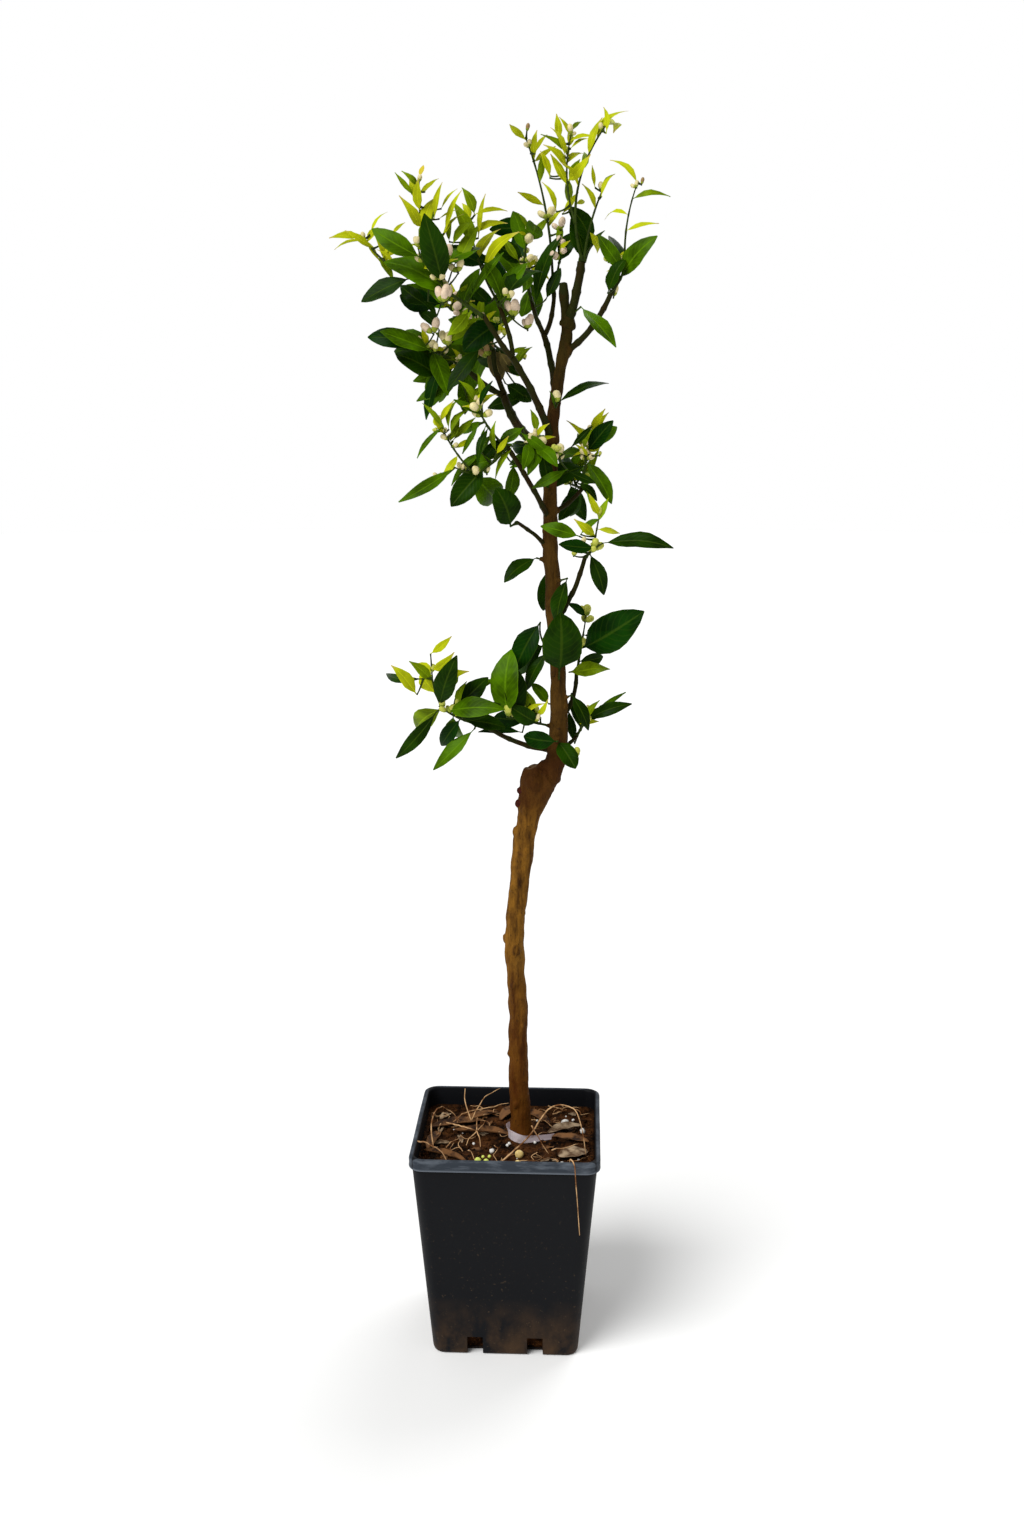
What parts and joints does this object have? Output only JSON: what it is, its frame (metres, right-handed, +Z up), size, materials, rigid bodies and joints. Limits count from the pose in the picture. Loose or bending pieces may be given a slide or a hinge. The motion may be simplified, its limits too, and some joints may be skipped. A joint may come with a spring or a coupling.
{
  "type": "potted clementine tree",
  "caption": "Young grafted hernandina clementine tree in a square nursery pot: a bare kinked stem under an open, left-leaning crown of glossy leaves, pale shoots and buds.",
  "frame": {"origin": "middle of the pot's flat underside, on the surface that it stands on", "axes": "+Z up, -Y towards the front that the picture shows, +X to the right as seen from there"},
  "size_m": [0.336, 0.2367, 1.2931],
  "materials": {
    "pot_plastic": "dusty satin",
    "potting_soil": "rough, crumbly",
    "pale_strip": "satin",
    "trunk_bark": "rough bark",
    "bough_bark": "smooth green bark",
    "foliage": "glossy leaf",
    "young_foliage": "satin leaf"
  },
  "bodies": {
    "root": {"pot": "pot_plastic", "soil": "potting_soil", "collar": "pale_strip", "trunk": "trunk_bark", "leader": "bough_bark", "right_bough": "bough_bark", "centre_bough": "bough_bark", "centre_arm_left": "bough_bark", "centre_arm_right": "bough_bark", "front_bough": "bough_bark", "front_arm_out": "bough_bark", "front_arm_up": "bough_bark", "left_bough": "bough_bark", "left_arm_out": "bough_bark", "left_arm_up": "bough_bark", "side_bough": "bough_bark", "side_twig": "bough_bark", "right_mid_bough": "bough_bark", "right_side_bough": "bough_bark", "low_left_bough": "bough_bark", "low_right_twig": "bough_bark", "right_low_bough": "bough_bark", "front_left_spray": "foliage", "far_left_spray": "foliage", "light_left_spray": "young_foliage", "front_wide_leaf": "foliage", "left_leaf_fan": "foliage", "blossom_spray": "foliage", "back_left_spray": "foliage", "rear_left_spray": "foliage", "rear_low_spray": "foliage", "centre_top_spray": "foliage", "centre_right_spray": "foliage", "top_shoot_one": "young_foliage", "leader_shoot": "young_foliage", "top_shoot_three": "young_foliage", "right_cluster": "foliage", "fork_leaf": "foliage", "stem_high_spray": "foliage", "right_side_spray": "foliage", "right_rear_spray": "foliage", "right_mid_spray": "foliage", "mid_left_leaf": "foliage", "front_hanging_leaf": "foliage", "dark_hanging_leaf": "foliage", "low_left_pair": "foliage", "round_leaf": "foliage", "right_low_spray": "foliage", "right_low_leaf": "foliage", "low_right_spray": "foliage", "low_front_spray": "foliage", "low_round_pair": "foliage", "low_left_cluster": "foliage", "hanging_left_spray": "foliage", "sprig_left": "foliage", "stem_left_spray": "foliage", "stem_right_buds": "foliage", "twig_leaf": "foliage", "low_stub": "foliage"}
  },
  "joints": []
}
